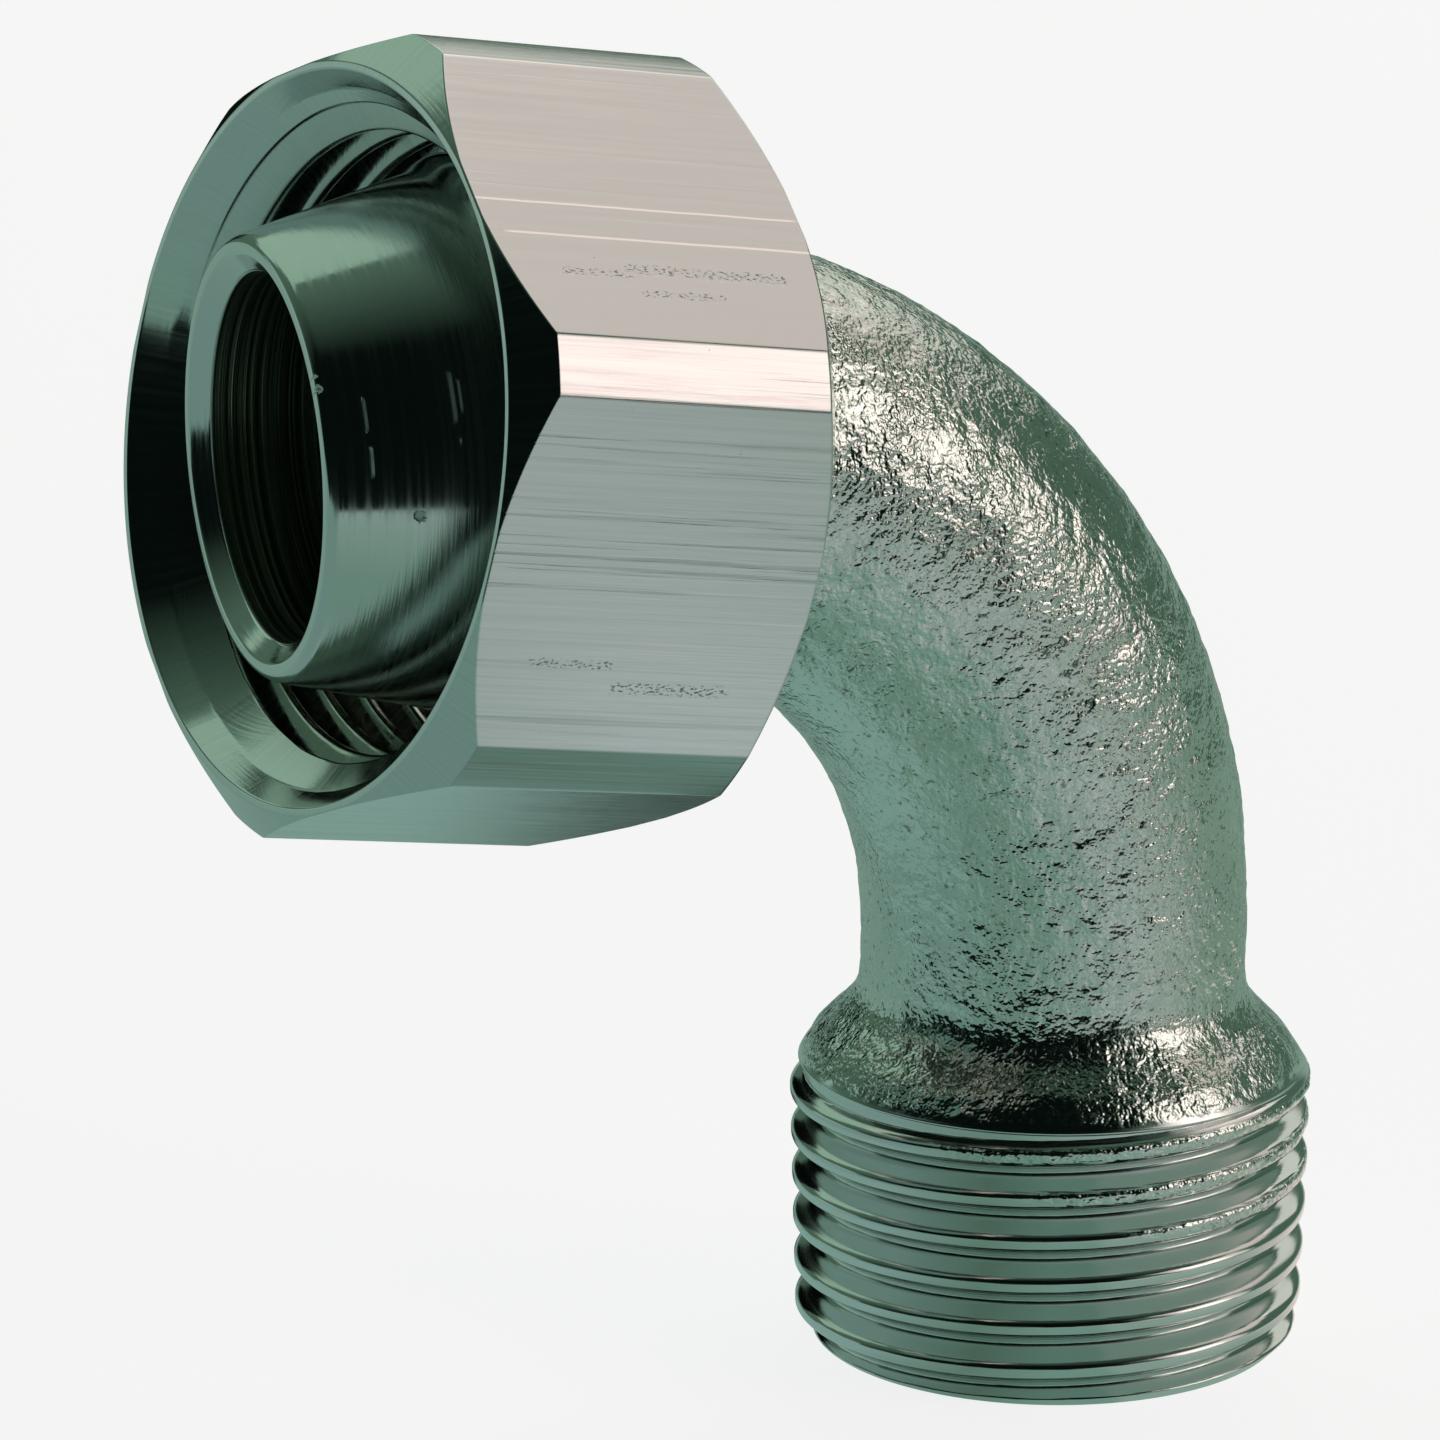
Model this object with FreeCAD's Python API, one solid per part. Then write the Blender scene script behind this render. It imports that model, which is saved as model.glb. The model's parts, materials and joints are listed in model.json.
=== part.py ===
"""Right-angle pipe union: a forged elbow with a male pipe thread, and its loose union nut.

Millimetres. The origin is the centre of the male thread's end face, +Z runs up the thread's axis,
and the spigot points along -X at the height SPIGOT_HEIGHT.
"""
import FreeCAD
import Part
import math
import os
from FreeCAD import Placement, Rotation, Vector

# Where the two ends of the elbow stand
SPIGOT_HEIGHT = 39.6          # thread end face to the spigot's axis
SPIGOT_REACH = 34.0           # thread axis to the spigot's end face
BEND_RADIUS = 21.8            # centreline of the bend
BEND_START = SPIGOT_HEIGHT - BEND_RADIUS

# Pipe threads, 55 degree Whitworth form: crest and root are flats of equal width
THREAD_PITCH = 1.814
THREAD_DEPTH = 1.162
THREAD_HALF_ANGLE = math.radians(27.5)
THREAD_OVERCUT = 0.15         # how far a groove's cutter stands outside the crest
MALE_GAUGE_R = 20.955 / 2     # R 1/2, crest at the gauge plane
MALE_GAUGE_HEIGHT = 6.4       # of the gauge plane above the end face
MALE_TAPER = 1 / 32           # of the radius, 1 in 16 on the diameter
NUT_MINOR_R = 24.117 / 2      # G 3/4

# Male end, shoulder and neck
MALE_LENGTH = 11.6
MALE_END_R = 9.5
MALE_CHAMFER = 0.8
MALE_GROOVE_TOP = 12.4        # the cutter leaves the blank above its top face
MALE_THREAD_TURN = 91.3       # of the thread about +Z, from a groove's middle at the end face on +X
SHOULDER_EDGE_R = 10.3
SHOULDER_EDGE_DROP = 0.5      # bevel on the thread's blank, down from the shoulder's edge
SHOULDER_KNEE_R = 9.75
SHOULDER_KNEE_RISE = 1.05
SHOULDER_RISE = 2.9
NECK_R = 7.85

# Spigot, sealing cone and collar, by distance from the spigot's end face
SPIGOT_TIP_R = 8.65
SPIGOT_EDGE = 0.25
SPIGOT_RING_R = 7.9
CONE_HALF_ANGLE = math.radians(15)
CONE_END = 7.5
COLLAR_R = 11.2
COLLAR_START = 8.4
COLLAR_END = 9.6
COLLAR_SEAT_LENGTH = 1.5      # sloping rear face that the nut's lip bears on
TUBE_R = 8.5

# Waterway
SPIGOT_BORE_R = 7.2
SPIGOT_BORE_DEPTH = 12.0
WATERWAY_R = 6.4
BORE_CHAMFER = 0.7

# Union nut, by distance behind its front face
NUT_ACROSS_FLATS = 29.0
NUT_LENGTH = 14.6
NUT_LAND_R = 16.1             # turned lands on the six corners
NUT_FRONT_RING_R = 14.55
NUT_FRONT_CHAMFER = 1.25
NUT_REAR_CHAMFER = 1.2
NUT_MOUTH_R = 14.0
NUT_LEAD_R = 13.55
NUT_LEAD_DEPTH = 1.1
NUT_THREAD_START = 2.4
NUT_RELIEF_START = 10.2
NUT_RELIEF_R = 13.3
NUT_SEAT_DEPTH = 12.4
NUT_HOLE_R = 10.75            # passes over the male thread, and is stopped by the collar
NUT_CORNER_ANGLE = 22.1       # of one corner, above the horizontal on the -Y side

# Where the loose nut hangs on the tube
NUT_FRONT_CENTRE = Vector(-32.05, -0.9, SPIGOT_HEIGHT + 0.86)
NUT_YAW = 9.8
NUT_PITCH = 10.1

X_AXIS = Vector(1, 0, 0)
Y_AXIS = Vector(0, 1, 0)
Z_AXIS = Vector(0, 0, 1)


def turned(profile):
    """A solid turned about Z from a closed outline of (radius, height) points."""
    points = [Vector(radius, 0, height) for radius, height in profile]
    outline = Part.makePolygon(points + points[:1])
    return Part.Face(outline).revolve(Vector(), Z_AXIS, 360)


def laid_along_x(shape, start_x, height):
    """Turns a solid made about Z to lie along +X, its base at start_x on the axis at height."""
    place = Placement(Vector(start_x, 0, height), Rotation(Y_AXIS, 90))
    shape.Placement = place.multiply(shape.Placement)
    return shape


def male_crest_r(height):
    """Crest radius of the taper thread at a height above its end face."""
    return MALE_GAUGE_R + (height - MALE_GAUGE_HEIGHT) * MALE_TAPER


def thread_groove(crest_r, inward, start, end, taper=0.0):
    """The helical groove of one thread about Z, its crest at crest_r where the groove starts.

    inward is -1 for a shaft and +1 for a hole, and taper is how much the radius grows with height.
    """
    root_flat = (THREAD_PITCH - 2 * THREAD_DEPTH * math.tan(THREAD_HALF_ANGLE)) / 2
    outer_half = root_flat / 2 + (THREAD_DEPTH + THREAD_OVERCUT) * math.tan(THREAD_HALF_ANGLE)
    open_r = crest_r - inward * THREAD_OVERCUT
    root_r = crest_r + inward * THREAD_DEPTH
    corners = [
        Vector(open_r, 0, start - outer_half),
        Vector(root_r, 0, start - root_flat / 2),
        Vector(root_r, 0, start + root_flat / 2),
        Vector(open_r, 0, start + outer_half),
    ]
    helix = Part.makeHelix(THREAD_PITCH, end - start, crest_r, math.degrees(math.atan(taper)))
    helix.translate(Vector(0, 0, start))
    profile = Part.makePolygon(corners + corners[:1])
    return Part.Wire(helix.Edges).makePipeShell([profile], True, True)


def threaded_end():
    """The male thread's blank, turned with an end chamfer, with the groove cut up to the shoulder."""
    bevel = MALE_LENGTH - SHOULDER_EDGE_DROP
    blank = turned([
        (0, 0),
        (MALE_END_R, 0),
        (male_crest_r(MALE_CHAMFER), MALE_CHAMFER),
        (male_crest_r(bevel), bevel),
        (SHOULDER_EDGE_R, MALE_LENGTH),
        (0, MALE_LENGTH),
    ])
    start = -THREAD_PITCH
    groove = thread_groove(male_crest_r(start), -1, start, MALE_GROOVE_TOP, MALE_TAPER)
    threaded = blank.cut(groove)
    threaded.rotate(Vector(), Z_AXIS, MALE_THREAD_TURN)
    return threaded


def shoulder_cone():
    """The forged shoulder between the thread and the neck."""
    shoulder_top = MALE_LENGTH + SHOULDER_RISE
    return turned([
        (0, MALE_LENGTH),
        (SHOULDER_EDGE_R, MALE_LENGTH),
        (SHOULDER_KNEE_R, MALE_LENGTH + SHOULDER_KNEE_RISE),
        (NECK_R, shoulder_top),
        (0, shoulder_top),
    ])


def bent_tube(low_r, high_r):
    """A solid quarter bend whose radius grows evenly from low_r to high_r."""
    low_centre = Vector(0, 0, BEND_START)
    high_centre = Vector(-BEND_RADIUS, 0, SPIGOT_HEIGHT)
    diagonal = BEND_RADIUS * math.cos(math.radians(45))
    middle = Vector(diagonal - BEND_RADIUS, 0, BEND_START + diagonal)
    path = Part.Wire(Part.Arc(low_centre, middle, high_centre).toShape())
    sections = [Part.Wire(Part.makeCircle(low_r, low_centre, Z_AXIS))]
    if high_r != low_r:
        sections.append(Part.Wire(Part.makeCircle(high_r, high_centre, X_AXIS)))
    return path.makePipeShell(sections, True, True)


def spigot():
    """Spigot tip, sealing cone, collar and the straight tube behind it, turned about Z."""
    cone_r = SPIGOT_TIP_R + (CONE_END - SPIGOT_EDGE) * math.tan(CONE_HALF_ANGLE)
    tube_end = SPIGOT_REACH - BEND_RADIUS
    return turned([
        (0, 0),
        (SPIGOT_TIP_R - SPIGOT_EDGE, 0),
        (SPIGOT_TIP_R, SPIGOT_EDGE),
        (cone_r, CONE_END),
        (COLLAR_R, COLLAR_START),
        (COLLAR_R, COLLAR_END),
        (TUBE_R, COLLAR_END + COLLAR_SEAT_LENGTH),
        (TUBE_R, tube_end),
        (0, tube_end),
    ])


def waterway():
    """The bore through the elbow, with a chamfer at each mouth."""
    lower = turned([
        (0, 0),
        (WATERWAY_R + BORE_CHAMFER, 0),
        (WATERWAY_R, BORE_CHAMFER),
        (WATERWAY_R, BEND_START),
        (0, BEND_START),
    ])
    upper = turned([
        (0, 0),
        (SPIGOT_RING_R, 0),
        (SPIGOT_BORE_R, SPIGOT_RING_R - SPIGOT_BORE_R),
        (SPIGOT_BORE_R, SPIGOT_BORE_DEPTH),
        (WATERWAY_R, SPIGOT_BORE_DEPTH),
        (WATERWAY_R, SPIGOT_REACH - BEND_RADIUS),
        (0, SPIGOT_REACH - BEND_RADIUS),
    ])
    upper = laid_along_x(upper, -SPIGOT_REACH, SPIGOT_HEIGHT)
    return [lower, bent_tube(WATERWAY_R, WATERWAY_R), upper]


def elbow_body():
    """The whole elbow: male end, neck, bend and spigot, with the waterway cut through."""
    neck_base = MALE_LENGTH + SHOULDER_RISE
    solid = threaded_end()
    for part in (
        shoulder_cone(),
        Part.makeCylinder(NECK_R, BEND_START - neck_base, Vector(0, 0, neck_base)),
        bent_tube(NECK_R, TUBE_R),
        laid_along_x(spigot(), -SPIGOT_REACH, SPIGOT_HEIGHT),
    ):
        solid = solid.fuse(part)
    for channel in waterway():
        solid = solid.cut(channel)
    return solid


def nut_hexagon():
    """The hexagon bar that the nut is cut from, along +Z from its front face."""
    corner_r = NUT_ACROSS_FLATS / 2 / math.cos(math.radians(30))
    corners = []
    for number in range(6):
        # laid_along_x turns local -X upwards, and local +Y stays across
        angle = math.radians(NUT_CORNER_ANGLE + 60 * number)
        corners.append(Vector(-corner_r * math.sin(angle), -corner_r * math.cos(angle), 0))
    outline = Part.makePolygon(corners + corners[:1])
    return Part.Face(outline).extrude(Vector(0, 0, NUT_LENGTH))


def union_nut():
    """The union nut, with its internal thread, relief groove and rear lip."""
    flats_r = NUT_ACROSS_FLATS / 2
    outside = turned([
        (0, 0),
        (NUT_FRONT_RING_R, 0),
        (NUT_LAND_R, NUT_FRONT_CHAMFER),
        (NUT_LAND_R, NUT_LENGTH - NUT_REAR_CHAMFER),
        (flats_r, NUT_LENGTH),
        (0, NUT_LENGTH),
    ])
    inside = turned([
        (0, 0),
        (NUT_MOUTH_R, 0),
        (NUT_LEAD_R, NUT_LEAD_DEPTH),
        (NUT_MINOR_R, NUT_THREAD_START),
        (NUT_MINOR_R, NUT_RELIEF_START),
        (NUT_RELIEF_R, NUT_RELIEF_START),
        (NUT_RELIEF_R, NUT_SEAT_DEPTH),
        (NUT_HOLE_R, NUT_SEAT_DEPTH),
        (NUT_HOLE_R, NUT_LENGTH),
        (0, NUT_LENGTH),
    ])
    groove = thread_groove(NUT_MINOR_R, 1, -THREAD_PITCH / 2, NUT_RELIEF_START + THREAD_PITCH / 2)
    nut = nut_hexagon().common(outside).cut(inside).cut(groove)
    nut = laid_along_x(nut, 0, 0)
    tilt = Rotation(Z_AXIS, NUT_YAW).multiply(Rotation(Y_AXIS, NUT_PITCH))
    nut.Placement = Placement(NUT_FRONT_CENTRE, tilt).multiply(nut.Placement)
    return nut


def main():
    os.makedirs("parts", exist_ok=True)
    for node, build in (("elbow_body", elbow_body), ("union_nut", union_nut)):
        shape = build()
        shape.exportStep("parts/" + node + ".step")
        box = shape.BoundBox
        print(node, "valid", shape.isValid(), "solids", len(shape.Solids), "volume", round(shape.Volume, 1))
        print(node, "x", round(box.XMin, 2), round(box.XMax, 2), "y", round(box.YMin, 2), round(box.YMax, 2),
              "z", round(box.ZMin, 2), round(box.ZMax, 2))


main()
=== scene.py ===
import bpy
import json
import math
import numpy as np
from mathutils import Matrix, Vector, noise


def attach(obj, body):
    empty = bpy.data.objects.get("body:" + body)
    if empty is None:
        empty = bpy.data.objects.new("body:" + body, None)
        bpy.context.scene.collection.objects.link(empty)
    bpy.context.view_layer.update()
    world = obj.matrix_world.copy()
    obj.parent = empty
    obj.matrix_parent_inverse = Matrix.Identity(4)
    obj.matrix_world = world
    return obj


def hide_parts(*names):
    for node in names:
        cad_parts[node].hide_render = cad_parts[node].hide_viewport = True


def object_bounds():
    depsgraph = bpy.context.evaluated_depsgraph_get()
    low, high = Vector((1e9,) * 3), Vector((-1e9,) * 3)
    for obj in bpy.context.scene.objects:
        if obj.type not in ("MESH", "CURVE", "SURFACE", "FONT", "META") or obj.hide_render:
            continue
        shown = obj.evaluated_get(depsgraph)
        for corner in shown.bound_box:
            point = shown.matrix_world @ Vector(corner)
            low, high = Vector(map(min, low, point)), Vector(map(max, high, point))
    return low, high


# A plated right-angle pipe union standing on its thread: the forged elbow and its loose hexagonal nut.
# Shapes are worked out in millimetres and turned into metres as each mesh is made.
MM = 0.001

# Elbow. The sizes are the CAD part's, except that SPIGOT_RING_R is 0.05 larger than there.
BEND_RADIUS = 21.8
MALE_GAUGE_R = 10.4775
MALE_GAUGE_HEIGHT = 6.4
MALE_TAPER = 1 / 32
MALE_LENGTH = 11.6
MALE_END_R = 9.5
MALE_CHAMFER = 0.8
SHOULDER_EDGE_R = 10.3
SHOULDER_EDGE_DROP = 0.5
SHOULDER_KNEE_R = 9.75
SHOULDER_KNEE_RISE = 1.05
SHOULDER_RISE = 2.9
NECK_R = 7.85
TUBE_R = 8.5
COLLAR_R = 11.2
COLLAR_SEAT = 11.1            # from the spigot's end face, as are the next three
COLLAR_END = 9.6
COLLAR_START = 8.4
CONE_END = 7.5
CONE_R = 10.59
SPIGOT_TIP_R = 8.65
SPIGOT_EDGE = 0.25
SPIGOT_RING_R = 7.95
SPIGOT_BORE_R = 7.2
SPIGOT_BORE_DEPTH = 12.0
WATERWAY_R = 6.4
BORE_CHAMFER = 0.7

# Nut, by distance behind its front face. The sizes are the CAD part's, except that NUT_RING_R is 0.03
# smaller than there and NUT_MOUTH_R 0.22 larger.
NUT_FLAT_R = 14.5
NUT_LENGTH = 14.6
NUT_LAND_R = 16.1
NUT_RING_R = 14.52
NUT_FRONT_CHAMFER = 1.25
NUT_REAR_CHAMFER = 1.2
NUT_MOUTH_R = 14.22
NUT_LEAD_R = 13.55
NUT_LEAD_DEPTH = 1.1
NUT_MINOR_R = 12.06
NUT_THREAD_START = 2.4
NUT_RELIEF_START = 10.2
NUT_RELIEF_R = 13.3
NUT_SEAT_DEPTH = 12.4
NUT_HOLE_R = 10.75
NUT_CORNER_ANGLE = math.radians(67.9)
FLAT_WIDTH = 2 * NUT_FLAT_R * math.tan(math.pi / 6)

# Threads: V grooves with rounded crests and roots
PITCH = 1.814
FLANK_SLOPE = math.tan(math.radians(27.5))
ROOT_ROUND = 0.35
MALE_GROOVE_START = -0.46      # height of a groove's middle on the +X side
MALE_GROOVE_HALF = 0.64
MALE_GROOVE_DEPTH = 1.0
MALE_CREST_ROUND = 0.34
MALE_FADE_START = 1.4          # below the shoulder, where the grooves begin to get shallower
MALE_FADE_END = 0.4
MALE_FADE_LOSS = 0.45
NUT_GROOVE_START = -PITCH
NUT_GROOVE_HALF = 0.72
NUT_GROOVE_DEPTH = 1.1
NUT_CREST_ROUND = 0.16

# The forging's grain: height, size and seed of each layer. It is cut into the surface, not added on.
GRAIN = ((0.05, 1.9, 1), (0.045, 0.75, 2), (0.035, 0.42, 3))
GRAIN_SUNK = 0.06
# The blank was a little small on one side, so the first crests there keep its grain
KEPT_TURN = math.radians(-62)
KEPT_LENGTH = 5.6
KEPT_FADE = 1.5
KEPT_SHARE = 0.9

# Mesh
COLUMNS = 384
ARC_STEPS = 3
EDGE = 0.07                   # usual edge rounding
EDGE_REACH = 0.42             # the most of a side that one rounding takes up
EDGE_GUARD = 0.05             # how close to a rounding its side's first and last rows lie
CLOSE = 0.05                  # how far off a surface still counts as on it

# Marks on the sealing cone: degrees about the spigot where each starts and stops, millimetres behind
# the end face, and width; then small dents, by degrees, millimetres behind the end face and radius
NICKS = ((288, 298, 1.62, 0.08), (277, 286, 1.68, 0.08), (288, 301, 4.85, 0.12), (290, 299, 5.12, 0.08),
         (283, 286, 4.95, 0.06))
DENTS = ((268.4, 3.35, 0.36), (301.2, 0.10, 0.30), (304.6, 0.06, 0.20))
CONE_NICKS = [(behind, width, math.radians(start) * TUBE_R, math.radians(stop) * TUBE_R)
              for start, stop, behind, width in NICKS]
BEHIND_OFF_CONE = 50.0        # what "behind" holds away from the cone, further than any mark reaches

# Marks on the nut's two near flats: millimetres round from the lower flat's middle, width, and start
# and stop along the flat
MARKED_FLAT = 5 * FLAT_WIDTH
SCRATCHES = ((MARKED_FLAT + 0.4, 0.07, 0.0, 15.0), (MARKED_FLAT + 2.0, 0.08, 1.0, 15.5))
PIT_ROWS = ((MARKED_FLAT + 3.5, 0.30, 6.0, 13.5), (MARKED_FLAT + 3.8, 0.22, 3.0, 6.5),
            (MARKED_FLAT + 4.7, 0.24, 6.5, 10.5), (4.4, 0.30, 7.0, 12.5), (3.5, 0.22, 3.0, 7.0))
LINED_PLACE = -1.1            # where the lower flat's deeper drawn lines lie

# Colours of the metal, among them a few painted highlights and painted shade
NICKEL = (0.64, 0.67, 0.65, 1)
DULL_NICKEL = (0.58, 0.62, 0.60, 1)
FORGED_NICKEL = (0.64, 0.68, 0.64, 1)
DULL_FORGED_NICKEL = (0.58, 0.63, 0.59, 1)
GRIME = (0.17, 0.17, 0.11, 1)
BORE_DARK = (0.10, 0.12, 0.08, 1)
BORE_LIGHT = (0.40, 0.42, 0.32, 1)
# painted glint on the sealing cone's nicks and dents
NICK_PAINTED_GLINT = (0.95, 0.97, 0.95, 1)
FURROW_GREY = (0.30, 0.34, 0.32, 1)
# pinkish streaks on the lands: partly smears, partly the key light's pink highlight painted in
LAND_SMEAR_AND_SHEEN = (0.56, 0.38, 0.40, 1)
# painted shade on the lands, to hold down the key light's highlight there
LAND_PAINTED_SHADE = (0.42, 0.42, 0.43, 1)
# painted glint along the flats' scratches
SCRATCH_PAINTED_GLINT = (0.98, 0.96, 0.94, 1)
PIT_DARK = (0.12, 0.12, 0.10, 1)
# painted shade inside the nut
CAVITY_PAINTED_SHADE = (0.30, 0.32, 0.26, 1)

# Heights of the bumps, in metres
FORGED_BUMP = 0.00009
TURNED_BUMP = 0.000006
BORE_BUMP = 0.00010
NICK_BUMP = -0.00004
DRAWN_BUMP = 0.000008

# Stage, in metres
FLOOR_HALF = 3.0
FLOOR_PAINT = (0.25, 0.24, 0.25, 1)
FLOOR_GLOW = (0.93, 0.93, 0.93, 1)
CARD_NEAR = 0.172             # the table card's edge, this far from the origin towards the camera
CARD_FAR = -0.9
CARD_WIDE = 0.6
CARD_DROP = -0.001
CARD_PAINT = (0.01, 0.01, 0.01, 1)
# a painted pool of light on the table card
PAINTED_LIGHT_POOL = (0.017, -0.051, 0)
PAINTED_LIGHT_POOL_COLOUR = (0.60, 0.66, 0.67, 1)
# a black card that stands for the object's shadow on the table behind it: a painted shadow
SHADOW_CARD_BLACK = (0.002, 0.003, 0.003, 1)
SHADOW_CARD_R = 0.12
SHADOW_CARD_SIDES = (108, 88)   # azimuths, in degrees
SHADOW_CARD_LOW = 0.010
SHADOW_CARD_HIGH = 0.066
ROOM_BRIGHT_WAY = (0.36, 0.83, 0.2)
ROOM_DARK = (0.0025, 0.005, 0.004, 1)
ROOM_BRIGHT = (0.085, 0.155, 0.110, 1)
WHITE = (1, 1, 1, 1)

# What the object's lower faces mirror, by azimuth from +X towards +Y: close to its foot and further off
# the colours are the table's light and shade painted in: near the foot, the dark stretch from 58 to 104
# degrees is a painted shadow of the object and the pinkish one from 0 to 48 painted light
NEAR_GROUND_LIGHT_AND_SHADE = (
    (-180, (0.28, 0.44, 0.40)),
    (-138, (0.16, 0.28, 0.22)),
    (-112, (0.22, 0.38, 0.32)),
    (-96, (0.22, 0.38, 0.32)),
    (-92, (0.30, 0.44, 0.38)),
    (-40, (0.33, 0.44, 0.38)),
    (0, (0.85, 0.74, 0.69)),
    (48, (0.85, 0.74, 0.69)),
    (58, (0.02, 0.03, 0.03)),
    (104, (0.02, 0.03, 0.03)),
    (112, (0.25, 0.42, 0.38)),
    (180, (0.28, 0.44, 0.40)),
)
FAR_GROUND_LIGHT_AND_SHADE = (
    (-180, (0.20, 0.33, 0.30)),
    (-130, (0.20, 0.34, 0.28)),
    (-112, (0.30, 0.42, 0.38)),
    (-72, (0.46, 0.51, 0.50)),
    (-30, (0.23, 0.34, 0.28)),
    (0, (0.22, 0.33, 0.26)),
    (120, (0.22, 0.35, 0.30)),
    (180, (0.20, 0.33, 0.30)),
)

# Soft panels: name, azimuth, elevation, distance, width, height, colour, radiance
PANELS = (
    ("key_light", -38, 24, 0.9, 0.36, 0.38, (1.0, 0.84, 0.80), 0.95),
    ("key_halo", -36, 23, 1.0, 0.80, 0.75, (1.0, 0.87, 0.82), 0.62),
    ("front_fill", -60, 18, 1.0, 0.50, 0.80, (0.62, 1.0, 0.80), 0.08),
    ("side_light", 14, 46, 0.9, 0.40, 0.42, (1.0, 0.76, 0.76), 0.58),
    ("grey_light", 49, 37, 1.0, 0.64, 0.80, (1.0, 0.92, 0.87), 0.54),
    ("back_light", 92, 47, 1.0, 1.05, 0.92, (0.70, 1.0, 0.80), 0.30),
    ("left_light", 137, -2, 1.0, 0.6, 0.4, (0.75, 1.0, 0.93), 0.25),
)
PANEL_POWER = 4               # watts a square metre for a radiance of 1, near enough pi

CAMERA_AZIMUTH = math.radians(-21.94)
CAMERA_ELEVATION = math.radians(15.72)
CAMERA_ROLL = math.radians(0.37)
CAMERA_DISTANCE = 0.3554
CAMERA_TARGET = Vector((-0.0146, 0, 0.02726))
LENS = 224.35
SENSOR_WIDTH = 36
CLIP_START = 0.01


# ---------------------------------------------------------------- shape helpers

def smooth_step(value, low, high):
    t = np.clip((value - low) / (high - low), 0, 1)
    return t * t * (3 - 2 * t)


def soft_max(a, b, width):
    """The larger of a and b, with the crease between them rounded over width."""
    near = np.maximum(width - np.abs(a - b), 0) / width
    return np.maximum(a, b) + near * near * width / 4


def soft_min(a, b, width):
    return -soft_max(-a, -b, width)


def groove_depth(along, turn, start, half, deepest, crest_round):
    """Depth of a right-handed helical groove, its crest corners rounded over crest_round."""
    centre = start + PITCH * turn / math.tau
    nearest = centre + PITCH * np.round((along - centre) / PITCH)
    wall = (half - np.abs(along - nearest)) / FLANK_SLOPE
    return soft_min(soft_max(wall, 0 * wall, crest_round), deepest + 0 * wall, ROOT_ROUND)


def outline_grid(table, columns):
    """Rows of (along, radius) round a closed outline, its corners rounded and its sides cut up.

    Each line of the table is a corner: along and radius, each a number or one value a column, how far
    the rounding reaches along its two sides, and the steps in the side after it.
    """
    points = [np.stack([np.broadcast_to(v, columns) for v in line[:2]]).astype(float) for line in table]
    fillets = [line[2] for line in table]
    cuts = [line[3] for line in table]
    count = len(points)
    sides = [points[(k + 1) % count] - points[k] for k in range(count)]
    lengths = [np.maximum(np.hypot(*side), 1e-6) for side in sides]
    reach = [np.minimum(fillets[k], EDGE_REACH * np.minimum(lengths[k - 1], lengths[k]))
             for k in range(count)]
    rows = []
    for k, here in enumerate(points):
        last = (k + 1) % count
        start = here - sides[k - 1] / lengths[k - 1] * reach[k]
        end = here + sides[k] / lengths[k] * reach[k]
        stop = points[last] - sides[k] / lengths[k] * reach[last]
        for t in np.linspace(0, 1, ARC_STEPS + 1):
            rows.append(start * (1 - t) ** 2 + here * 2 * t * (1 - t) + end * t * t)
        guard = np.minimum(EDGE_GUARD / lengths[k], 0.2 / cuts[k])
        for t in np.linspace(0, 1, cuts[k] + 1):
            rows.append(end + (stop - end) * (guard + (1 - 2 * guard) * t))
    grid = np.array(rows)
    return grid[:, 0], grid[:, 1]


def unroll(along, radius, around):
    """A flat (round, along) place in millimetres for each point, with one more row and column.

    The second number is the distance gone round the outline, and around is the first.
    """
    steps = np.hypot(np.diff(along, axis=0, append=along[:1]), np.diff(radius, axis=0, append=radius[:1]))
    distance = np.vstack([np.zeros(along.shape[1]), np.cumsum(steps, 0)])
    closed = np.hstack([distance, distance[:, :1]])
    return np.stack([np.broadcast_to(around, closed.shape), closed], -1)


def relief(points, size, seed):
    """Smooth noise from about -1 to 1 at each point, its bumps about size across."""
    shift = Vector((seed * 17.3, seed * 5.1, seed * 9.7))
    return np.array([noise.noise(Vector(point) / size + shift) for point in points])


def ring_mesh(name, points, unrolled, masks):
    """A piece made of a grid of points that wraps both ways, in metres, with a value a point a mask."""
    rows, columns = points.shape[:2]
    here = np.arange(rows * columns).reshape(rows, columns)
    below = np.roll(here, -1, 0)
    quads = np.stack([here, np.roll(here, -1, 1), np.roll(below, -1, 1), below], -1).reshape(-1, 4)
    mesh = bpy.data.meshes.new(name)
    mesh.from_pydata(points.reshape(-1, 3).tolist(), [], quads.tolist())
    corner_places = np.stack([unrolled[:-1, :-1], unrolled[:-1, 1:], unrolled[1:, 1:], unrolled[1:, :-1]], 2)
    layer = mesh.uv_layers.new(name="unrolled")
    layer.data.foreach_set("uv", corner_places.astype(np.float32).ravel())
    for mask, values in masks.items():
        attribute = mesh.attributes.new(mask, "FLOAT", "POINT")
        attribute.data.foreach_set("value", values.astype(np.float32).ravel())
    mesh.shade_smooth()
    piece = bpy.data.objects.new(name, mesh)
    bpy.context.scene.collection.objects.link(piece)
    return piece


# ---------------------------------------------------------------- elbow

def on_spine(along, radius, turn, bend_start):
    """Points at a distance along the tube's centreline, a radius and a turn about it."""
    bend_length = BEND_RADIUS * math.pi / 2
    angle = np.clip(along - bend_start, 0, bend_length) / BEND_RADIUS
    past = np.maximum(along - bend_start - bend_length, 0)
    out = BEND_RADIUS + radius * np.cos(turn)
    x = out * np.cos(angle) - BEND_RADIUS - past
    z = out * np.sin(angle) + np.minimum(along, bend_start)
    return np.stack([x, radius * np.sin(turn), z], -1)


def male_crest_r(height):
    return MALE_GAUGE_R + (height - MALE_GAUGE_HEIGHT) * MALE_TAPER


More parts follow.
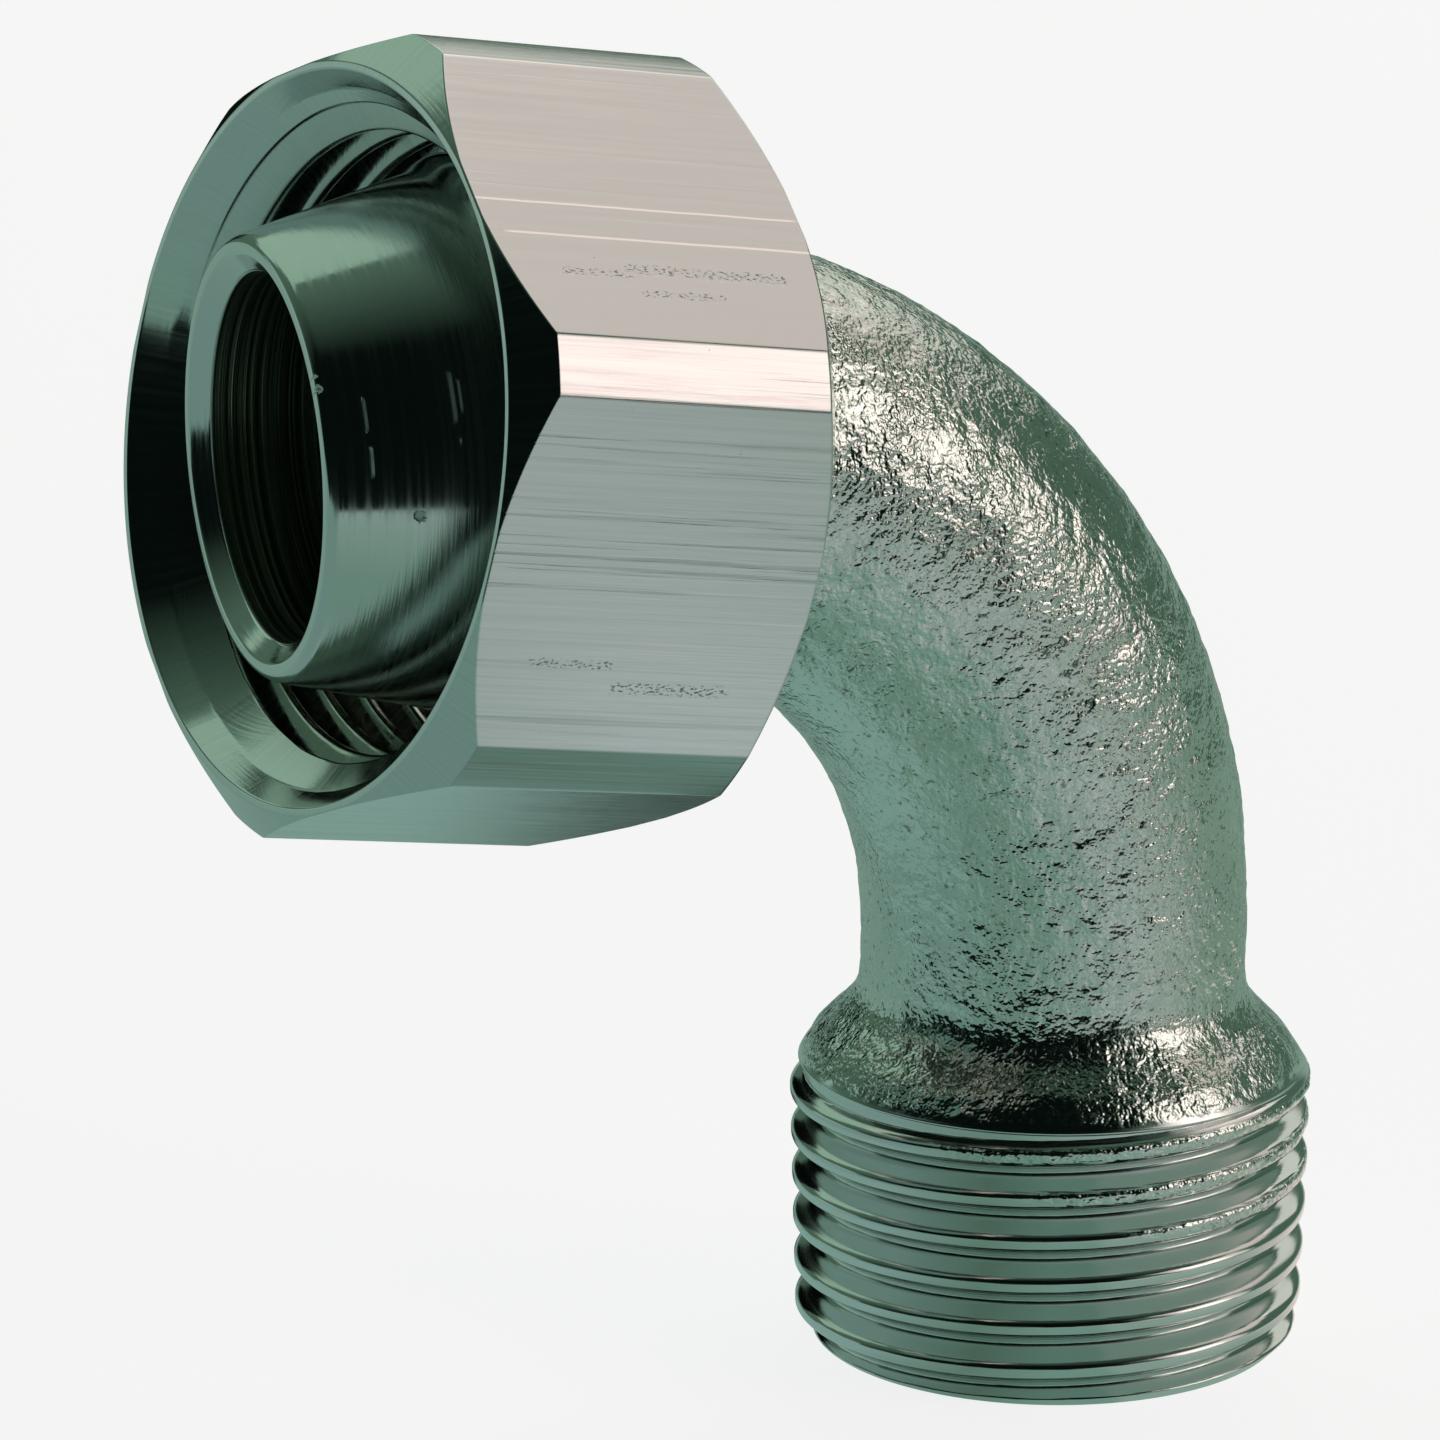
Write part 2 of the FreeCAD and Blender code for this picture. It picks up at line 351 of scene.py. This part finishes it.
def elbow_outline(bend_start, end):
    """The elbow's wall as a table for outline_grid, up the outside and back down the bore."""
    bend_end = bend_start + BEND_RADIUS * math.pi / 2
    top = MALE_LENGTH + SHOULDER_RISE
    bevel = MALE_LENGTH - SHOULDER_EDGE_DROP
    return (
        (0, WATERWAY_R + BORE_CHAMFER, EDGE, 5),
        (0, MALE_END_R, 0.1, 10),
        (MALE_CHAMFER, male_crest_r(MALE_CHAMFER), 0.1, 170),
        (bevel, male_crest_r(bevel), EDGE, 10),
        (MALE_LENGTH, SHOULDER_EDGE_R, 0.12, 12),
        (MALE_LENGTH + SHOULDER_KNEE_RISE, SHOULDER_KNEE_R, 0.75, 14),
        (top, NECK_R, 1.0, 16),
        (bend_start, NECK_R, 0.6, 200),
        (bend_end, TUBE_R, 0.4, 4),
        (end - COLLAR_SEAT, TUBE_R, 0.2, 8),
        (end - COLLAR_END, COLLAR_R, 0.1, 6),
        (end - COLLAR_START, COLLAR_R, 0.25, 5),
        (end - CONE_END, CONE_R, 0.35, 40),
        (end - SPIGOT_EDGE, SPIGOT_TIP_R, 0.12, 2),
        (end, SPIGOT_TIP_R - SPIGOT_EDGE, 0.12, 3),
        (end, SPIGOT_RING_R, 0.1, 6),
        (end - BORE_CHAMFER, SPIGOT_BORE_R, 0.1, 30),
        (end - SPIGOT_BORE_DEPTH, SPIGOT_BORE_R, EDGE, 3),
        (end - SPIGOT_BORE_DEPTH, WATERWAY_R, EDGE, 44),
        (bend_start, WATERWAY_R, EDGE, 12),
        (BORE_CHAMFER, WATERWAY_R, EDGE, 4),
    )


def forged_share(along, radius, turn, end):
    """1 where the forging's own skin shows, 0 where it has been machined."""
    outside = radius > WATERWAY_R + 1.0
    body = smooth_step(along, MALE_LENGTH + 0.15, MALE_LENGTH + 0.5)
    body = body * (1 - smooth_step(along, end - COLLAR_SEAT - 0.6, end - COLLAR_SEAT - 0.2))
    side = np.maximum(np.cos(turn - KEPT_TURN), 0)
    kept_from = MALE_LENGTH - KEPT_LENGTH * side
    kept = smooth_step(along, kept_from, kept_from + KEPT_FADE)
    kept = kept * smooth_step(radius - male_crest_r(along), -0.16, -0.08) * (side > 0)
    return np.where(outside, np.maximum(body, KEPT_SHARE * kept * (along < MALE_LENGTH + 0.1)), 0)


def elbow_piece(spigot_end):
    """The elbow, its size between the thread's end face and spigot_end, the spigot's."""
    reach, height = -spigot_end.x / MM, spigot_end.z / MM
    bend_start = height - BEND_RADIUS
    end = bend_start + BEND_RADIUS * math.pi / 2 + reach - BEND_RADIUS
    along, radius = outline_grid(elbow_outline(bend_start, end), COLUMNS)
    turn = np.broadcast_to(np.arange(COLUMNS) * math.tau / COLUMNS, along.shape)
    around = np.arange(COLUMNS + 1) * math.tau / COLUMNS * TUBE_R
    unrolled = unroll(along, radius, around)

    depth = groove_depth(along, turn, MALE_GROOVE_START, MALE_GROOVE_HALF, MALE_GROOVE_DEPTH,
                         MALE_CREST_ROUND)
    faded = smooth_step(along, MALE_LENGTH - MALE_FADE_START, MALE_LENGTH - MALE_FADE_END)
    depth = np.minimum(depth, MALE_GROOVE_DEPTH - MALE_FADE_LOSS * faded)
    on_thread = (along <= MALE_LENGTH) & (radius > MALE_END_R - 0.2)
    radius = np.where(on_thread, np.minimum(radius, male_crest_r(along) - depth), radius)

    forged = forged_share(along, radius, turn, end)
    smooth = on_spine(along, radius, turn, bend_start).reshape(-1, 3)
    rough = np.zeros(len(smooth))
    chosen = forged.ravel() > 0
    rough[chosen] = sum(deep * relief(smooth[chosen], size, seed) for deep, size, seed in GRAIN)
    radius = radius + (rough.reshape(radius.shape) - GRAIN_SUNK) * forged
    points = on_spine(along, radius, turn, bend_start)

    in_bore = smooth_step(-radius, -SPIGOT_BORE_R - CLOSE, -SPIGOT_BORE_R) * (along < end - BORE_CHAMFER)
    on_cone = (along > end - COLLAR_START) & (radius > SPIGOT_RING_R)
    behind = np.where(on_cone, end - along, BEHIND_OFF_CONE)
    return ring_mesh("elbow", points * MM, unrolled, {"forged": forged, "bore": in_bore, "behind": behind})


# ---------------------------------------------------------------- nut

def nut_columns():
    """Angles from a flat's middle, a sixth of the nut, closely spaced at the edges of the corner lands."""
    edge = math.acos(NUT_FLAT_R / NUT_LAND_R)
    corner = math.pi / 6
    near = np.radians([-0.5, -0.28, -0.1, 0.08, 0.26, 0.5])
    land = np.linspace(-corner, -edge + near[0], 6)[:-1]
    flat = np.linspace(-edge + near[-1], edge - near[-1], 41)[1:-1]
    return np.concatenate([land, -edge + near, flat, edge - near[::-1], -land[:0:-1]])


def nut_piece(front, axis):
    """The nut, its front face's centre at front and its axis pointing back to front along axis."""
    one = nut_columns()
    centres = NUT_CORNER_ANGLE + math.pi / 6 + np.arange(6) * math.pi / 3
    turn = np.concatenate([centre + one for centre in centres])
    lean = np.tile(one, 6)
    side = soft_min(NUT_FLAT_R / np.cos(lean), NUT_LAND_R + 0 * lean, 0.05)
    ring = np.minimum(NUT_RING_R, side - CLOSE)
    rear = np.minimum(NUT_FLAT_R, side - CLOSE)
    front_cone = NUT_FRONT_CHAMFER / (NUT_LAND_R - NUT_RING_R)
    rear_cone = NUT_REAR_CHAMFER / (NUT_LAND_R - NUT_FLAT_R)
    table = (
        (0, NUT_MOUTH_R, 0.06, 3),
        (0, ring, 0.05, 7),
        ((side - ring) * front_cone, side, 0.05, 40),
        (NUT_LENGTH - (side - rear) * rear_cone, side, 0.08, 7),
        (NUT_LENGTH, rear, 0.08, 8),
        (NUT_LENGTH, NUT_HOLE_R, 0.2, 6),
        (NUT_SEAT_DEPTH, NUT_HOLE_R, 0.1, 6),
        (NUT_SEAT_DEPTH, NUT_RELIEF_R, 0.15, 6),
        (NUT_RELIEF_START, NUT_RELIEF_R, 0.1, 8),
        (NUT_RELIEF_START, NUT_MINOR_R, 0.1, 104),
        (NUT_THREAD_START, NUT_MINOR_R, 0.1, 24),
        (NUT_LEAD_DEPTH, NUT_LEAD_R, 0.1, 14),
    )
    along, radius = outline_grid(table, len(turn))

    # round the outside by distance along the flats; elsewhere it only has to be steady
    around = np.repeat(np.arange(6), len(one)) * FLAT_WIDTH + NUT_FLAT_R * np.tan(lean)
    unrolled = unroll(along, radius, np.append(around, around[0] + 6 * FLAT_WIDTH))

    depth = groove_depth(along, turn, NUT_GROOVE_START, NUT_GROOVE_HALF, NUT_GROOVE_DEPTH, NUT_CREST_ROUND)
    on_thread = (radius < NUT_LEAD_R + CLOSE) & (along < NUT_RELIEF_START + 0.02)
    radius = np.where(on_thread, np.maximum(radius, NUT_MINOR_R + depth), radius)
    points = np.stack([radius * np.cos(turn), radius * np.sin(turn), along], -1)

    drawn = (radius > side - 0.02) & (along > 0.02) & (along < NUT_LENGTH - 0.02)
    land = smooth_step(NUT_FLAT_R / np.cos(lean), NUT_LAND_R - 0.05, NUT_LAND_R + 0.02)
    land = np.broadcast_to(land, along.shape)
    # painted shade inside the nut: its inner faces turn greyer from 1 to 3 mm behind the front face
    deep = 1 - smooth_step(-along, -3.0, -1.0)
    cavity_shade = np.where(radius < NUT_MOUTH_R + 0.01, deep, 0)
    piece = ring_mesh("nut", points * MM, unrolled, {"drawn": drawn, "land": land, "cavity_shade": cavity_shade})

    up = (Vector((0, 0, 1)) - axis * axis.z).normalized()
    near = up.cross(axis)
    turned = Matrix((up, near, -axis)).transposed()
    piece.data.transform(Matrix.Translation(front) @ turned.to_4x4())
    return piece


# ---------------------------------------------------------------- materials

class Nodes:
    """A node tree, with short calls to add and join nodes."""

    def __init__(self, tree):
        self.tree = tree

    def put(self, socket, value):
        """A number or colour goes on the socket, and another node's output is linked to it."""
        if isinstance(value, bpy.types.NodeSocket):
            self.tree.links.new(value, socket)
        else:
            socket.default_value = value

    def node(self, kind, settings=None, **inputs):
        """A new node. An input is given by its name, or as _0, _1 and so on by its place."""
        node = self.tree.nodes.new("ShaderNode" + kind)
        for key, value in (settings or {}).items():
            setattr(node, key, value)
        for key, value in inputs.items():
            self.put(node.inputs[int(key[1:]) if key[1:].isdigit() else key], value)
        return node

    def add(self, kind, out=0, settings=None, **inputs):
        """A new node's output, by name or place."""
        return self.node(kind, settings, **inputs).outputs[out]

    def math(self, operation, a, b=0.0, c=0.0):
        return self.add("Math", settings={"operation": operation}, _0=a, _1=b, _2=c)

    def mask(self, name):
        return self.add("Attribute", "Fac", {"attribute_name": name})

    def noise(self, source, scale, detail=2.0, rough=0.5):
        return self.add("TexNoise", "Fac", Vector=source, Scale=scale, Detail=detail, Roughness=rough)

    def drawn_out(self, source, across, along, detail=2.0, rough=0.5):
        """Noise on the unrolled surface, with its own number of features a millimetre each way."""
        place = self.add("Mapping", Vector=source, Scale=(across, along, 1))
        return self.noise(place, 1.0, detail, rough)

    def ramp(self, value, low, high, start=0.0, stop=1.0):
        return self.add("MapRange", settings={"interpolation_type": "SMOOTHSTEP"},
                        _0=value, _1=low, _2=high, _3=start, _4=stop)

    def blend(self, share, a, b):
        return self.add("Mix", 2, {"data_type": "RGBA"}, _0=share, _6=a, _7=b)

    def tint(self, colour, mask, strength, shade):
        """The colour, moved towards a shade by up to strength where the mask is 1."""
        return self.blend(self.math("MULTIPLY", mask, strength), colour, shade)

    def between(self, share, a, b):
        return self.add("Mix", 0, {"data_type": "FLOAT"}, _0=share, _2=a, _3=b)

    def stroke(self, across, middle, width, along, start, stop, soft):
        """A thin mark: 1 along its middle, fading at its sides and ends."""
        off = self.math("ABSOLUTE", self.math("SUBTRACT", across, middle))
        line = self.ramp(off, width, width * 0.35)
        line = self.math("MULTIPLY", line, self.ramp(along, start, start + soft))
        return self.math("MULTIPLY", line, self.ramp(along, stop, stop - soft))

    def strokes(self, across, along, marks, soft):
        """All the marks together, each a (middle, width, start, stop)."""
        total = None
        for middle, width, start, stop in marks:
            line = self.stroke(across, middle, width, along, start, stop, soft)
            total = line if total is None else self.math("MAXIMUM", total, line)
        return total

    def bump(self, height, distance, normal=None):
        inputs = {"Height": height, "Distance": distance, "Strength": 1.0}
        if normal is not None:
            inputs["Normal"] = normal
        return self.add("Bump", **inputs)


class Metal(Nodes):
    """A new material's node tree, its shader set to metal."""

    def __init__(self, name):
        self.material = bpy.data.materials.new(name)
        self.material.use_nodes = True
        super().__init__(self.material.node_tree)
        self.shader = next(n for n in self.tree.nodes if n.type == "BSDF_PRINCIPLED")
        self.shader.inputs["Metallic"].default_value = 1.0

    def finish(self, **inputs):
        """Puts values on the shader's inputs, with _ for a space in a name, and gives the material."""
        for name, value in inputs.items():
            self.put(self.shader.inputs[name.replace("_", " ")], value)
        return self.material


def cone_marks(n, flat):
    """1 on the sealing cone's nicks and dents, 0 elsewhere."""
    behind = n.mask("behind")
    around = n.add("SeparateXYZ", Vector=flat)
    marks = n.strokes(behind, around, CONE_NICKS, 0.3)
    on_cone = n.add("CombineXYZ", X=around, Y=behind)
    for degrees, along, radius in DENTS:
        centre = (math.radians(degrees) * TUBE_R, along, 0)
        off = n.add("VectorMath", "Value", {"operation": "DISTANCE"}, _0=on_cone, _1=centre)
        off = n.math("MULTIPLY_ADD", n.noise(on_cone, 5.5, 3, 0.7), 0.45, n.math("SUBTRACT", off, 0.10))
        marks = n.math("MAXIMUM", marks, n.ramp(off, radius, radius * 0.6))
    return marks


def forging_material():
    n = Metal("plated_forging")
    place = n.add("TexCoord", "Object")
    flat = n.add("UVMap", settings={"uv_map": "unrolled"})
    forged = n.mask("forged")
    bore = n.mask("bore")
    nicks = cone_marks(n, flat)

    # as-forged grain: pebbles about a quarter of a millimetre across, coarser in places
    pebbles = n.noise(place, 4300, 1.2, 0.5)
    lumps = n.noise(place, 1500, 0.5, 0.4)
    heavy = n.ramp(n.noise(place, 330, 2), 0.35, 0.65, 0.6, 1.25)
    grain = n.math("MULTIPLY_ADD", lumps, 0.9, pebbles)
    grain = n.math("MULTIPLY", n.math("MULTIPLY", grain, heavy), forged)

    # turned surfaces: fine rings that follow the outline, a little uneven round the part
    machined = n.math("SUBTRACT", 1.0, forged)
    rings = n.math("MULTIPLY", n.drawn_out(flat, 0.004, 9.0, 4, 0.7), machined)
    deep_rings = n.math("MULTIPLY", n.drawn_out(flat, 0.01, 2.4, 3, 0.6), bore)

    normal = n.bump(grain, FORGED_BUMP)
    normal = n.bump(rings, TURNED_BUMP, normal)
    normal = n.bump(deep_rings, BORE_BUMP, normal)
    normal = n.bump(nicks, NICK_BUMP, normal)

    spots = n.math("MULTIPLY", n.ramp(n.noise(place, 3400, 3, 0.6), 0.60, 0.68), forged)
    patches = n.ramp(n.noise(place, 260, 3), 0.35, 0.7)
    skin = n.blend(patches, FORGED_NICKEL, DULL_FORGED_NICKEL)
    skin = n.tint(skin, spots, 0.75, GRIME)
    colour = n.blend(forged, NICKEL, skin)
    cuts = n.ramp(n.drawn_out(flat, 0.02, 3.0, 3, 0.6), 0.4, 0.65)
    colour = n.tint(colour, bore, 0.9, n.blend(cuts, BORE_DARK, BORE_LIGHT))
    # the nicks and dents are painted near-white: a painted glint
    colour = n.tint(colour, nicks, 0.9, NICK_PAINTED_GLINT)

    streaks = n.ramp(n.drawn_out(flat, 0.03, 4.0, 3), 0.3, 0.75, 0.07, 0.2)
    worn = n.ramp(pebbles, 0.35, 0.7, 0.11, 0.22)
    roughness = n.between(forged, streaks, worn)
    roughness = n.between(bore, roughness, 0.35)
    roughness = n.between(nicks, roughness, 0.55)
    return n.finish(Base_Color=colour, Roughness=roughness, Normal=normal)


def nut_material():
    n = Metal("plated_nut")
    flat = n.add("UVMap", settings={"uv_map": "unrolled"})
    drawn = n.mask("drawn")
    land = n.math("MULTIPLY", n.mask("land"), drawn)
    cavity_shade = n.mask("cavity_shade")
    turned = n.math("SUBTRACT", 1.0, drawn)
    place = n.node("SeparateXYZ", Vector=flat)
    around, length = place.outputs[0], place.outputs[1]

    # drawn-bar lines along the flats, in fine hairs and in a few bundles of deeper ones; the marked
    # flat is smoother
    calm = n.ramp(n.math("ABSOLUTE", n.math("SUBTRACT", around, MARKED_FLAT)), 6.8, 7.4, 0.12, 1.0)
    hairs = n.drawn_out(flat, 8.0, 0.04, 4, 0.7)
    hairs = n.math("MULTIPLY", n.math("MULTIPLY", hairs, drawn), calm)
    bundles = n.ramp(n.drawn_out(flat, 0.22, 0.02, 1), 0.42, 0.6, 0.1, 0.8)
    lined = n.ramp(n.math("ABSOLUTE", n.math("SUBTRACT", around, LINED_PLACE)), 2.6, 1.4)
    bundles = n.math("MULTIPLY", n.math("MAXIMUM", bundles, lined), calm)
    furrows = n.ramp(n.drawn_out(flat, 3.2, 0.025, 3, 0.65), 0.52, 0.66)
    furrows = n.math("MULTIPLY", n.math("MULTIPLY", furrows, bundles), drawn)
    height = n.math("MULTIPLY_ADD", furrows, -1.2, hairs)

    # handling marks: scratches and rows of small pits that wander a little, and a few specks anywhere
    wander = n.drawn_out(flat, 0.3, 0.25)
    across = n.math("MULTIPLY_ADD", wander, 0.12, n.math("SUBTRACT", around, 0.06))
    scratches = n.strokes(across, length, SCRATCHES, 0.6)
    pits = n.strokes(across, length, PIT_ROWS, 0.3)
    pits = n.math("MULTIPLY", pits, n.ramp(n.drawn_out(flat, 11.0, 4.5, 2, 0.6), 0.56, 0.64))
    specks = n.ramp(n.drawn_out(flat, 2.6, 1.3, 4, 0.75), 0.72, 0.78)
    pits = n.math("MAXIMUM", pits, n.math("MULTIPLY", specks, drawn))
    height = n.math("MULTIPLY_ADD", pits, -3.0, height)

    rings = n.math("MULTIPLY", n.drawn_out(flat, 0.01, 6.0, 4, 0.7), turned)
    normal = n.bump(height, DRAWN_BUMP)
    normal = n.bump(rings, TURNED_BUMP, normal)

    tone = n.ramp(n.drawn_out(flat, 5.0, 0.05, 4, 0.7), 0.35, 0.7)
    colour = n.blend(n.math("MULTIPLY", tone, calm), NICKEL, DULL_NICKEL)
    colour = n.tint(colour, furrows, 0.55, FURROW_GREY)
    # pinkish streaks on the lands, partly smears and partly painted highlight: the key light's pink,
    # darkened in streaks
    smears_and_sheen = n.ramp(n.drawn_out(flat, 4.5, 0.10, 4, 0.7), 0.5, 0.7)
    colour = n.tint(colour, n.math("MULTIPLY", smears_and_sheen, land), 0.7, LAND_SMEAR_AND_SHEEN)
    # the lands are painted darker: painted shade that holds down the key light's highlight on them
    colour = n.tint(colour, land, 0.5, LAND_PAINTED_SHADE)
    # the scratches are painted near-white: a painted glint along each
    colour = n.blend(scratches, colour, SCRATCH_PAINTED_GLINT)
    # the pits and specks are made darker
    colour = n.tint(colour, pits, 0.7, PIT_DARK)
    # painted shade, greyer deeper inside the nut
    colour = n.tint(colour, cavity_shade, 0.45, CAVITY_PAINTED_SHADE)
    roughness = n.ramp(n.drawn_out(flat, 3.0, 0.08, 3), 0.3, 0.75, 0.08, 0.2)
    return n.finish(Base_Color=colour, Roughness=roughness, Normal=normal)


# ---------------------------------------------------------------- stage

def matt_paint(name, colour, glow_colour, glow):
    """A matt surface that may also give a little light of its own."""
    material = bpy.data.materials.new(name)
    material.use_nodes = True
    shader = material.node_tree.nodes["Principled BSDF"]
    shader.inputs["Base Color"].default_value = colour
    shader.inputs["Roughness"].default_value = 0.9
    shader.inputs["Specular IOR Level"].default_value = 0.1
    shader.inputs["Emission Color"].default_value = glow_colour
    shader.inputs["Emission Strength"].default_value = glow
    return material


def sheet_at(name, corners, material, unseen_by):
    """A flat sheet that isn't part of the object, hidden from the kinds of ray in unseen_by."""
    mesh = bpy.data.meshes.new(name)
    mesh.from_pydata(corners, [], [tuple(range(len(corners)))])
    mesh.materials.append(material)
    sheet = bpy.data.objects.new(name, mesh)
    bpy.context.scene.collection.objects.link(sheet)
    for ray in unseen_by:
        setattr(sheet, "visible_" + ray, False)


def floor():
    size = FLOOR_HALF
    corners = [(-size, -size, 0), (size, -size, 0), (size, size, 0), (-size, size, 0)]
    paint = matt_paint("floor_paint", FLOOR_PAINT, FLOOR_GLOW, 0.9)
    sheet_at("floor", corners, paint, ("glossy", "shadow", "diffuse"))


def by_azimuth(n, azimuth, stops):
    """A colour ramp round the compass."""
    node = n.node("ValToRGB", Fac=azimuth)
    ramp = node.color_ramp
    while len(ramp.elements) < len(stops):
        ramp.elements.new(0.5)
    for element, (degrees, shade) in zip(ramp.elements, stops):
        element.position = degrees / 360 + 0.5
        element.color = (*shade, 1)
    return node.outputs[0]


def table_card():
    """The card under the object, which its lower faces mirror. It ends in front of the object. Its glow is
    painted light and shade: the table as lit, the object's shadow on it, and a painted pool of light.
    """
    toward = Vector((math.sin(CAMERA_AZIMUTH), -math.cos(CAMERA_AZIMUTH), 0))
    along = Vector((-toward.y, toward.x, 0))
    ends = ((CARD_NEAR, -CARD_WIDE), (CARD_NEAR, CARD_WIDE), (CARD_FAR, CARD_WIDE), (CARD_FAR, -CARD_WIDE))
    corners = [toward * a + along * b + Vector((0, 0, CARD_DROP)) for a, b in ends]
    n = Metal("card_paint")
    place = n.add("TexCoord", "Object")
    azimuth = n.add("TexGradient", "Fac", {"gradient_type": "RADIAL"}, Vector=place)
    away = n.ramp(n.add("VectorMath", "Value", {"operation": "LENGTH"}, _0=place), 0.032, 0.048)
    ground = n.blend(away, by_azimuth(n, azimuth, NEAR_GROUND_LIGHT_AND_SHADE), by_azimuth(n, azimuth, FAR_GROUND_LIGHT_AND_SHADE))
    off = n.add("VectorMath", "Value", {"operation": "DISTANCE"}, _0=place, _1=PAINTED_LIGHT_POOL)
    # a painted pool of light on the card
    ground = n.blend(n.ramp(off, 0.015, 0.006, 0.0, 0.8), ground, PAINTED_LIGHT_POOL_COLOUR)
    paint = n.finish(Base_Color=CARD_PAINT, Emission_Color=ground, Emission_Strength=1.0)
    sheet_at("table_card", corners, paint, ("camera", "diffuse", "shadow"))


def painted_shadow_card():
    """A low black card close behind the object, which the thread's left edge mirrors: a painted shadow,
    standing for the object's own shadow on the table behind it.
    """
    paint = matt_paint("shadow_card_paint", SHADOW_CARD_BLACK, SHADOW_CARD_BLACK, 0.0)
    left, right = (SHADOW_CARD_R * Vector((math.cos(math.radians(a)), math.sin(math.radians(a)), 0))
                   for a in SHADOW_CARD_SIDES)
    low, high = Vector((0, 0, SHADOW_CARD_LOW)), Vector((0, 0, SHADOW_CARD_HIGH))
    corners = [left + low, right + low, right + high, left + high]
    sheet_at("painted_shadow_card", corners, paint, ("camera", "diffuse", "shadow"))


def panel(target, name, azimuth, elevation, distance, width, height, colour, radiance):
    """A soft area light that faces target. Azimuth is from +X towards +Y, in degrees."""
    a, e = math.radians(azimuth), math.radians(elevation)
    way = Vector((math.cos(a) * math.cos(e), math.sin(a) * math.cos(e), math.sin(e)))
    data = bpy.data.lights.new(name, "AREA")
    data.shape = "RECTANGLE"
    data.size = width
    data.size_y = height
    data.color = colour
    data.energy = radiance * width * height * PANEL_POWER
    light = bpy.data.objects.new(name, data)
    light.location = target + way * distance
    light.rotation_euler = way.to_track_quat("Z", "Y").to_euler()
    light.visible_camera = False
    bpy.context.scene.collection.objects.link(light)


def room():
    """Dim walls, brighter on one side, that the object mirrors. The camera itself sees plain white."""
    world = bpy.data.worlds.new("studio")
    bpy.context.scene.world = world
    world.use_nodes = True
    n = Nodes(world.node_tree)
    walls = n.tree.nodes["Background"]
    way = n.add("TexCoord", "Generated")
    side = n.add("VectorMath", "Value", {"operation": "DOT_PRODUCT"}, _0=way, _1=ROOM_BRIGHT_WAY)
    share = n.add("MapRange", _0=side, _1=-0.25, _2=0.35)
    n.put(walls.inputs["Color"], n.blend(share, ROOM_DARK, ROOM_BRIGHT))
    backdrop = n.add("Background", Color=WHITE)
    seen = n.add("LightPath", "Is Camera Ray")
    shown = n.add("MixShader", _0=seen, _1=walls.outputs[0], _2=backdrop)
    n.put(n.tree.nodes["World Output"].inputs["Surface"], shown)


def camera():
    level = math.cos(CAMERA_ELEVATION)
    back = Vector((math.sin(CAMERA_AZIMUTH) * level, -math.cos(CAMERA_AZIMUTH) * level,
                   math.sin(CAMERA_ELEVATION)))
    data = bpy.data.cameras.new("camera")
    data.lens = LENS
    data.sensor_width = SENSOR_WIDTH
    data.clip_start = CLIP_START
    seat = bpy.data.objects.new("camera", data)
    turn = back.to_track_quat("Z", "Y").to_matrix() @ Matrix.Rotation(CAMERA_ROLL, 3, "Z")
    seat.matrix_world = Matrix.Translation(CAMERA_TARGET + back * CAMERA_DISTANCE) @ turn.to_4x4()
    bpy.context.scene.collection.objects.link(seat)
    bpy.context.scene.camera = seat


# ---------------------------------------------------------------- scene

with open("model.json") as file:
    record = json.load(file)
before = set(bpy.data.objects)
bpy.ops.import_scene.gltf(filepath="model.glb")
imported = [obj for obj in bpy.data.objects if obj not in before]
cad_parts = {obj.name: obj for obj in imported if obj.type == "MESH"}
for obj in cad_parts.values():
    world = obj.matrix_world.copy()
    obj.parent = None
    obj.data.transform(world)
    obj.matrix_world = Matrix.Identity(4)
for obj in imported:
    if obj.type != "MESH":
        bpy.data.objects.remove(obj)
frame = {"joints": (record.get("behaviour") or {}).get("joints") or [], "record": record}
cad_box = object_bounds()
mounts = {mount["name"]: mount for mount in frame["record"]["mounts"]}
spin = frame["joints"][0]

elbow = elbow_piece(Vector(mounts["spigot_cone"]["pos_m"]))
elbow.data.materials.append(forging_material())
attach(elbow, "elbow")
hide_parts("elbow_body")

nut = nut_piece(Vector(spin["pos_m"]), Vector(spin["axis"]).normalized())
nut.data.materials.append(nut_material())
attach(nut, "nut")
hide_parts("union_nut")

floor()
table_card()
painted_shadow_card()
middle = (cad_box[0] + cad_box[1]) / 2
for lamp in PANELS:
    panel(middle, *lamp)
room()
camera()
bpy.context.scene.view_settings.view_transform = "Standard"
